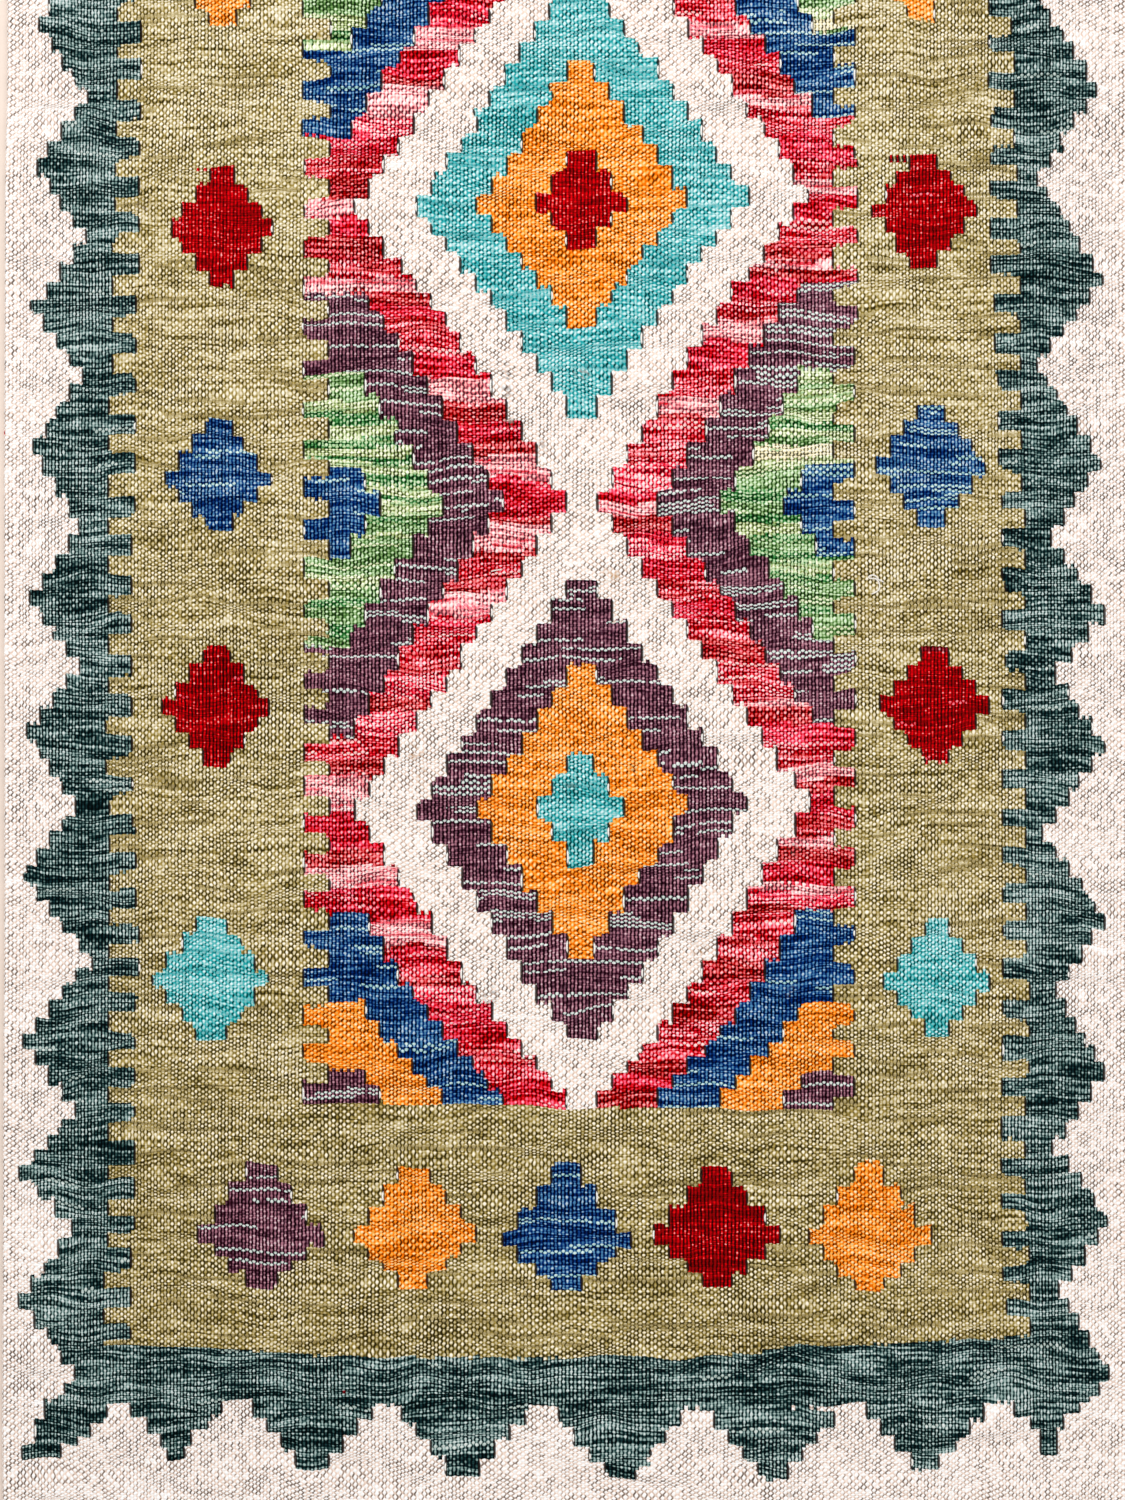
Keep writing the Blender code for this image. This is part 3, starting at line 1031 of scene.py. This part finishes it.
def smooth_path(points, steps):
    """A rounded path through a few points, with even steps between each two."""
    ends = [points[0] * 2 - points[1], *points, points[-1] * 2 - points[-2]]
    path = []
    for a, b, c, d in zip(ends, ends[1:], ends[2:], ends[3:]):
        for k in range(steps):
            t = k / steps
            bend = (a * 2 - b * 5 + c * 4 - d) * t * t + (b * 3 - a - c * 3 + d) * t * t * t
            path.append(b + ((c - a) * t + bend) / 2)
    return path + [points[-1]]


def spin_thread(bm, path, radius):
    """A round thread along a path, rolled up from an even grid, with its ends drawn to a point."""
    last = len(path) - 1
    made = bmesh.ops.create_grid(bm, x_segments=THREAD_SIDES, y_segments=last, size=0.5)
    for vert in made["verts"]:
        k = round((vert.co.y + 0.5) * last)
        turn = (vert.co.x + 0.5) * 2 * math.pi
        ahead = (path[min(k + 1, last)] - path[max(k - 1, 0)]).normalized()
        aside = ahead.cross(Vector((0, 0, 1))).normalized()
        above = aside.cross(ahead)
        swell = radius * (0.0 if k in (0, last) else 1.0)
        vert.co = path[k] + (aside * math.cos(turn) + above * math.sin(turn)) * swell


def slit_runs(depth):
    """The first and last row of each open stretch of each gap, from two beads tall."""
    runs = []
    for gap in range(2, depth.shape[0] - 2, 2):
        open_rows = np.flatnonzero(depth[gap] > 0)
        if len(open_rows) == 0:
            continue
        for run in np.split(open_rows, np.flatnonzero(np.diff(open_rows) > 1) + 1):
            if len(run) > 3:
                runs.append((gap // 2, run[0], run[-1]))
    return runs


def bare_warp_paths(depth, weave):
    """Paths of the warps that the weft has pulled away from at some of the slits."""
    bow = np.array(BARE_WARP_BOW)
    paths = []
    for gap, first, last in slit_runs(depth):
        if chance(101, gap, first) > BARE_WARPS:
            continue
        side = 1 if chance(102, gap, first) < 0.5 else -1
        last = min(last, first + BARE_WARP_BEADS)
        beads = np.linspace(first + BARE_WARP_ENDS, last - BARE_WARP_ENDS, len(bow))
        x, y = woven_place(np.full(len(bow), float(gap)), beads * 2, weave)
        z = face_height(x * MM, y * MM) / MM + bow * BARE_WARP_RISE - BARE_WARP_DEPTH
        x = x + side * bow * BARE_WARP_ASIDE
        paths.append([Vector(place) * MM for place in zip(x, y, z)])
    return paths


def thread_piece(name, paths, radius, material):
    """One piece of several threads of the same kind."""
    bm = bmesh.new()
    for path in paths:
        spin_thread(bm, path, radius)
    bmesh.ops.remove_doubles(bm, verts=bm.verts, dist=1e-7)
    bmesh.ops.recalc_face_normals(bm, faces=bm.faces)
    mesh = finished_mesh(name, bm)
    mesh.shade_smooth()
    mesh.materials.append(material)
    return link_piece(name, mesh)


# ---- Materials ----


def add_node(tree, kind, *inputs, named=None, **settings):
    """Adds a node with its settings and links.

    Its kind may end in an operation, as in Math.ADD. Its inputs come in order or are named by
    socket. Each is a number, a colour, a socket, or a node, which stands for its first output.
    """
    kind, _, operation = kind.partition(".")
    if operation:
        settings["operation"] = operation
    node = tree.nodes.new("ShaderNode" + kind)
    for name, value in settings.items():
        setattr(node, name, value)
    for socket, value in [*enumerate(inputs), *(named or {}).items()]:
        if isinstance(value, bpy.types.Node):
            value = value.outputs[0]
        if isinstance(value, bpy.types.NodeSocket):
            tree.links.new(value, node.inputs[socket])
        else:
            node.inputs[socket].default_value = value
    return node


def new_material(name, surface):
    """A new material with its surface set on its shader, its node tree and its shader."""
    material = bpy.data.materials.new(name)
    material.use_nodes = True
    shader = material.node_tree.nodes["Principled BSDF"]
    for socket, value in surface.items():
        shader.inputs[socket].default_value = value
    return material, material.node_tree, shader


def tone_ramp(tree, tone, shaded, own, lit):
    """A ramp through the tones of one yarn, painted from the shade in a gap between beads to a lit
    crown.
    """
    deep, bright = hex_to_linear(shaded)[:3], hex_to_linear(lit)[:3]
    colours = (
        [value * HOLLOW_SHARE for value in deep],
        [value * DARK_SHARE for value in deep],
        deep,
        own,
        bright,
        [value + (1.0 - value) * BRIGHTEST_SHARE for value in bright],
    )
    ramp = add_node(tree, "ValToRGB", tone)
    stops = ramp.color_ramp.elements
    while len(stops) < len(colours):
        stops.new(1.0)
    for stop, place, colour in zip(stops, TONE_STOPS, colours):
        stop.position = place
        stop.color = (*colour, 1.0)
    return ramp


def random_draws(tree, *numbers):
    """Three random shares from 0 to 1, as red, green and blue, for each pair of whole numbers."""
    pair = add_node(tree, "CombineXYZ", *numbers)
    noise = add_node(tree, "TexWhiteNoise", pair, noise_dimensions="2D")
    return add_node(tree, "SeparateColor", noise.outputs["Color"])


def soft_waves(tree, across, along, warps, wefts, part, detail):
    """Waves from 0 to 1, some warps wide and some wefts high, from one slice of the noise."""
    wide = add_node(tree, "Math.DIVIDE", across, warps)
    high = add_node(tree, "Math.DIVIDE", along, wefts)
    place = add_node(tree, "CombineXYZ", wide, high)
    place = add_node(tree, "VectorMath.ADD", place, (*WAVES_START, part))
    return add_node(tree, "TexNoise", named={"Vector": place, "Scale": 1.0, "Detail": detail})


def uneven_counts(tree, fineness):
    """Counts of warps and picks as a hand packs them, and the plain count of wefts."""
    counts = add_node(tree, "SeparateXYZ", add_node(tree, "UVMap", uv_map="threads"))
    across, along = counts.outputs[0], counts.outputs[1]
    drift = add_node(tree, "Math.SUBTRACT", soft_waves(tree, across, along, *WAVES["drift"]), 0.5)
    row = add_node(tree, "Math.MULTIPLY", along, fineness)
    row = add_node(tree, "Math.MULTIPLY_ADD", drift, 2.0 * DRIFT, row)
    jolt = soft_waves(tree, across, row, *WAVES["jolt"])
    jolt = add_node(tree, "SeparateXYZ", jolt.outputs["Color"])
    across = add_node(tree, "Math.MULTIPLY_ADD", jolt.outputs[0], JOLT[0], across)
    row = add_node(tree, "Math.MULTIPLY_ADD", jolt.outputs[1], JOLT[1], row)
    return across, row, along


def handspun_wool(name, area, tones, second):
    """Hand-spun, hand-dyed wool, packed weft over warp: matt, and uneven from bead to bead."""
    ribs, rising, falling, picks, *spread, fineness = SPINNING[area]
    contrast, speck, fuzz, streak, furrow, abrash, painted_head_light = spread
    material, tree, shader = new_material("handspun_wool_" + name, WOOL_SURFACE)
    add = partial(add_node, tree)
    across, row, along = uneven_counts(tree, fineness)

    # A bead is one pick of weft where it passes over one warp. The beads of a rib lie half a bead
    # higher than those of the next, so they are the crests that four crossing waves share: one
    # across the ribs, one across each diagonal and one across the picks.
    warp = add("Math.FLOOR", across)
    odd = add("Math.FLOORED_MODULO", warp, 2.0)
    bead = add("Math.ROUND", add("Math.MULTIPLY", add("Math.SUBTRACT", row, odd), 0.5))
    place = add("Math.SUBTRACT", across, 0.5)
    ridge = add("Math.COSINE", add("Math.MULTIPLY", place, 2.0 * math.pi))
    rise, fall = (
        add("Math.COSINE", add("Math.MULTIPLY", add(step, place, row), math.pi))
        for step in ("Math.SUBTRACT", "Math.ADD")
    )
    level = add("Math.COSINE", add("Math.MULTIPLY", row, 2.0 * math.pi))
    taut, firm = (
        add("Math.MULTIPLY_ADD", soft_waves(tree, across, along, *WAVES[waves]), *TENSION_RANGE)
        for waves in ("taut", "firm")
    )
    shape = add("Math.MULTIPLY", add("Math.MULTIPLY", ridge, ribs), taut)
    for wave, share in ((rise, rising), (fall, falling), (level, picks)):
        shape = add("Math.MULTIPLY_ADD", wave, share, shape)

    # Each crown gets its own amount of painted light, and each gap its own amount of painted shade
    draws = random_draws(tree, warp, bead)
    slant = add("Math.FLOOR", add("Math.MULTIPLY", add("Math.SUBTRACT", row, place), 0.5))
    pit = random_draws(tree, add("Math.FLOOR", place), slant).outputs[1]
    lit, shaded = (
        add("Math.MULTIPLY_ADD", draw, 2.0 * speck, 1.0 - speck) for draw in (draws.outputs[0], pit)
    )
    crown = add("Math.MAXIMUM", shape, 0.0)
    crown = add("Math.DIVIDE", crown, add("Math.MULTIPLY_ADD", crown, CROWN_FLATNESS, 1.0))
    light = add("Math.MULTIPLY", crown, lit)
    light = add("Math.MULTIPLY", light, CROWN_SHARE * (1.0 + CROWN_FLATNESS))
    hollow = add("Math.MULTIPLY", add("Math.MINIMUM", shape, 0.0), shaded)
    light = add("Math.MULTIPLY_ADD", hollow, HOLLOW_DEPTH, light)
    light = add("Math.MULTIPLY", light, firm)

    # The yarn itself is tufted, and its streaks and the painted shade of the furrows run along the
    # wefts
    light = add("Math.MULTIPLY_ADD", soft_waves(tree, across, row, *WAVES["fuzz"]), fuzz, light)
    stray = add("Math.SUBTRACT", soft_waves(tree, across, row, *WAVES["waver"]), 0.5)
    strayed = add("Math.MULTIPLY_ADD", stray, 2.0 * WAVER, row)
    lines = (("streak", STREAK_RANGE, 2.0 * streak), ("furrow", FURROW_RANGE, -furrow))
    for waves, limits, amount in lines:
        line = soft_waves(tree, across, strayed, *WAVES[waves])
        line = add("MapRange", line, *limits, interpolation_type="SMOOTHSTEP")
        light = add("Math.MULTIPLY_ADD", line, amount, light)

    # The middle tone makes up for what the noise adds on average
    middle = 0.5 - 0.5 * (abrash + painted_head_light) - GLINT_MEAN * HIGHLIGHT
    middle -= contrast / 2 * (fuzz / 2 + streak)
    tone = add("Math.MULTIPLY_ADD", light, contrast / 2, middle)
    lots = soft_waves(tree, across, strayed, *WAVES["abrash"])
    tone = add("Math.MULTIPLY_ADD", lots, abrash, tone)
    # Painted light: the tone rises steadily from the foot to the head
    tone = add("Math.MULTIPLY_ADD", along, painted_head_light / bpy.context.scene.kilim_weave.wefts, tone)
    # A painted highlight: lit fibres on the crowns of some beads
    pebble = add("Math.ADD", add("Math.ADD", ridge, rise), add("Math.ADD", fall, level))
    peak = add("Math.MAXIMUM", add("Math.DIVIDE", pebble, 4.0), 0.0)
    glint = add("Math.MULTIPLY", add("Math.POWER", peak, 2.0), draws.outputs[1])
    tone = add("Math.MULTIPLY_ADD", glint, HIGHLIGHT, tone)

    # Over the yarn come the chain of a second yarn, the stains and the painted shade in the slits
    layers = []
    if second:
        second_tones, least, *size = second
        high = soft_waves(tree, across, bead, *size, *CHAIN_WAVES)
        aside = add("Math.MULTIPLY_ADD", odd, -CHAIN_ZIGZAG, row)
        aside = add("Math.MULTIPLY_ADD", bead, -2.0, aside)
        aside = add("Math.ABSOLUTE", add("Math.SUBTRACT", aside, (1.0 - CHAIN_ZIGZAG) / 2))
        width = add("Math.MULTIPLY_ADD", ridge, CHAIN_ROUNDNESS, CHAIN_WIDTH)
        laid = add("Math.GREATER_THAN", high, least)
        laid = add("Math.MULTIPLY", laid, add("Math.LESS_THAN", aside, width))
        laid = add("Math.MULTIPLY", laid, add("Math.GREATER_THAN", draws.outputs[2], CHAIN_GAPS))
        even = add("Math.MULTIPLY_ADD", tone, CHAIN_CONTRAST, CHAIN_TONE * (1.0 - CHAIN_CONTRAST))
        layers.append((laid, tone_ramp(tree, even, *second_tones)))
    stain = add("Attribute", attribute_name="stain")
    spots = soft_waves(tree, across, row, *WAVES["stain"])
    spots = add("MapRange", spots, *STAIN_RANGE, interpolation_type="SMOOTHSTEP")
    soaked = add("Math.MULTIPLY", stain.outputs["Alpha"], spots)
    layers.append((soaked, stain.outputs["Color"]))
    slit = add("Attribute", attribute_name="slit").outputs["Fac"]
    shade = add("MapRange", slit, *SLIT_FADE, 0.0, SLIT_SHADE, interpolation_type="SMOOTHSTEP")
    layers.append((shade, hex_to_linear(SLIT_SHADE_COLOUR)))
    colour = tone_ramp(tree, tone, *tones)
    for share, over in layers:
        colour = add("Mix", share, named={6: colour, 7: over}, data_type="RGBA").outputs[2]
    tree.links.new(colour, shader.inputs["Base Color"])

    solid = add("TexCoord").outputs["Object"]
    fibre = add("TexNoise", named={"Vector": solid, "Scale": 1 / FIBRE_SIZE, "Detail": 1.0})
    height = add("Math.MULTIPLY_ADD", fibre, FIBRE_SHARE, shape)
    bump = add("Bump", named={"Height": height, "Distance": BUMP_HEIGHT, "Strength": 1.0})
    tree.links.new(bump.outputs[0], shader.inputs["Normal"])
    return material


def plied_thread(name, code):
    """Matt wool thread of two plies, whose fine twist shades it in stripes of bump and painted
    shade.
    """
    material, tree, shader = new_material(name, WOOL_SURFACE)
    place = add_node(tree, "TexCoord").outputs["Object"]
    stripes = {"Vector": place, "Scale": math.pi / 10 / PLY_TWIST, "Distortion": PLY_WANDER}
    plies = add_node(tree, "TexWave", named=stripes, bands_direction="DIAGONAL").outputs["Fac"]
    own = hex_to_linear(code)
    # Painted shade between the two plies
    dark = (*(value * PLY_SHADE for value in own[:3]), 1.0)
    mix = add_node(tree, "Mix", plies, named={6: dark, 7: own}, data_type="RGBA")
    tree.links.new(mix.outputs[2], shader.inputs["Base Color"])
    relief = {"Height": plies, "Distance": PLY_TWIST * PLY_RELIEF}
    bump = add_node(tree, "Bump", named=relief)
    tree.links.new(bump.outputs[0], shader.inputs["Normal"])
    return material


def floor_plaster(colour):
    """Smooth plaster: plain and matt, a little uneven in tone."""
    material, tree, shader = new_material("plain_floor", FLOOR_SURFACE)
    scale, detail, darker = FLOOR_CLOUDS
    place = add_node(tree, "TexCoord").outputs["Object"]
    clouds = {"Vector": place, "Scale": scale, "Detail": detail}
    cloud = add_node(tree, "TexNoise", named=clouds)
    low = (*(value * darker for value in colour), 1.0)
    mix = add_node(tree, "Mix", cloud, named={6: low, 7: (*colour, 1.0)}, data_type="RGBA")
    tree.links.new(mix.outputs[2], shader.inputs["Base Color"])
    return material


# ---- Operators ----


class KILIM_OT_weave_cloth(bpy.types.Operator):
    """Weave the cloth of the rug, band by band"""

    bl_idname = "kilim.weave_cloth"
    bl_label = "Weave Cloth"

    def execute(self, context):
        weave = context.scene.kilim_weave
        colours = context.scene.kilim_yarns
        if weave.warps % 2 or weave.wefts % (2 * BANDS):
            raise ValueError("The warps must be even, and the wefts must fill whole bands")
        tones_of = {
            name: (shaded, tuple(getattr(colours, name)), lit)
            for name, _, shaded, _, lit in YARNS
        }
        for name, area, *_ in YARNS:
            second = SECOND_YARNS.get(name)
            if second:
                other, *waves = second
                second = (tones_of[other], *waves)
            handspun_wool(name, area, tones_of[name], second)
        yarn = chart(weave)
        depth = slits(yarn)
        area, ivory = areas(yarn)
        ribs = mesh_lines(np.where(area == ivory, IVORY_RIBS, 1.0))
        wefts = weave.wefts // BANDS
        for band in range(BANDS):
            bm = closed_band(weave.warps, wefts, band * wefts)
            mesh = finished_mesh(f"woven_cloth_{band + 1}", bm)
            threads = thread_places(mesh)
            dress_band(mesh, threads, yarn, weave)
            shape_band(mesh, threads, weave, depth, ribs)
            stain_band(mesh, threads, weave)
            mesh.shade_smooth()
            mesh.set_sharp_from_angle(angle=SMOOTH_UP_TO)
            piece = link_piece(mesh.name, mesh)
            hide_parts("kilim")
        return {"FINISHED"}


class KILIM_OT_lay_threads(bpy.types.Operator):
    """Lay the warps that show bare at the slits, and the loose threads"""

    bl_idname = "kilim.lay_threads"
    bl_label = "Lay Threads"

    def execute(self, context):
        weave = context.scene.kilim_weave
        wool = plied_thread("undyed_warp_wool", BARE_WARP_COLOUR)
        paths = bare_warp_paths(slits(chart(weave)), weave)
        thread_piece("bare_warps", paths, BARE_WARP_RADIUS, wool)
        for name, code, radius, places in LOOSE_THREADS:
            points = []
            for x, y, above in places:
                z = face_height(x * MM, y * MM) + above * MM
                points.append(Vector((x * MM, y * MM, z)))
            path = smooth_path(points, LOOSE_THREAD_STEPS)
            thread_piece(name, [path], radius, plied_thread(name, code))
        return {"FINISHED"}


class KILIM_OT_set_stage(bpy.types.Operator):
    """Set the floor, the soft light and the camera straight above"""

    bl_idname = "kilim.set_stage"
    bl_label = "Set Stage"

    def execute(self, context):
        stage = context.scene.kilim_stage
        scene = context.scene
        bm = bmesh.new()
        bmesh.ops.create_grid(bm, x_segments=1, y_segments=1, size=FLOOR_SIZE / 2)
        bmesh.ops.translate(bm, vec=(0.0, 0.0, -FLOOR_GAP), verts=bm.verts)
        mesh = finished_mesh("floor", bm)
        mesh.materials.append(floor_plaster(tuple(stage.floor)))
        floor = bpy.data.objects.new("floor", mesh)
        scene.collection.objects.link(floor)

        for name, place, size, share in LIGHTS:
            light = bpy.data.lights.new(name, "AREA")
            light.shape = "SQUARE"
            light.size = size
            light.energy = stage.key_power * share
            lamp = bpy.data.objects.new(name, light)
            lamp.location = place
            aim = Vector(LIGHT_AIM) - lamp.location
            lamp.rotation_euler = aim.to_track_quat("-Z", "Y").to_euler()
            scene.collection.objects.link(lamp)

        world = bpy.data.worlds.new("soft_studio")
        world.use_nodes = True
        background = world.node_tree.nodes["Background"]
        background.inputs["Color"].default_value = hex_to_linear(DAYLIGHT)
        background.inputs["Strength"].default_value = stage.ambient
        scene.world = world

        camera = bpy.data.cameras.new("photo_camera")
        camera.sensor_fit = "HORIZONTAL"
        camera.sensor_width = SENSOR_WIDTH
        camera.lens = SENSOR_WIDTH * (CAMERA_HEIGHT - CLOTH_THICKNESS) / PHOTO_WIDTH
        holder = bpy.data.objects.new("photo_camera", camera)
        holder.location = (*PHOTO_CENTRE, CAMERA_HEIGHT)
        scene.collection.objects.link(holder)
        scene.camera = holder
        scene.view_settings.view_transform = "Standard"
        return {"FINISHED"}


class KILIM_PT_sidebar(bpy.types.Panel):
    """The rug's settings and its pieces"""

    bl_label = "Kilim Rug"
    bl_idname = "KILIM_PT_sidebar"
    bl_space_type = "VIEW_3D"
    bl_region_type = "UI"
    bl_category = "Kilim"

    def draw(self, context):
        layout = self.layout
        scene = context.scene
        for group in (scene.kilim_weave, scene.kilim_yarns, scene.kilim_stage):
            box = layout.box()
            for name in group.__annotations__:
                box.prop(group, name)
        for operator in OPERATORS:
            layout.operator(operator.bl_idname)


OPERATORS = (KILIM_OT_weave_cloth, KILIM_OT_lay_threads, KILIM_OT_set_stage)
CLASSES = (KilimYarns, KilimWeave, KilimStage, *OPERATORS, KILIM_PT_sidebar)


def register():
    for cls in CLASSES:
        bpy.utils.register_class(cls)
    bpy.types.Scene.kilim_yarns = PointerProperty(type=KilimYarns)
    bpy.types.Scene.kilim_weave = PointerProperty(type=KilimWeave)
    bpy.types.Scene.kilim_stage = PointerProperty(type=KilimStage)


def unregister():
    del bpy.types.Scene.kilim_stage
    del bpy.types.Scene.kilim_weave
    del bpy.types.Scene.kilim_yarns
    for cls in reversed(CLASSES):
        bpy.utils.unregister_class(cls)


def main():
    register()
    bpy.ops.kilim.weave_cloth()
    bpy.ops.kilim.lay_threads()
    bpy.ops.kilim.set_stage()


if __name__ == "__main__":
    main()
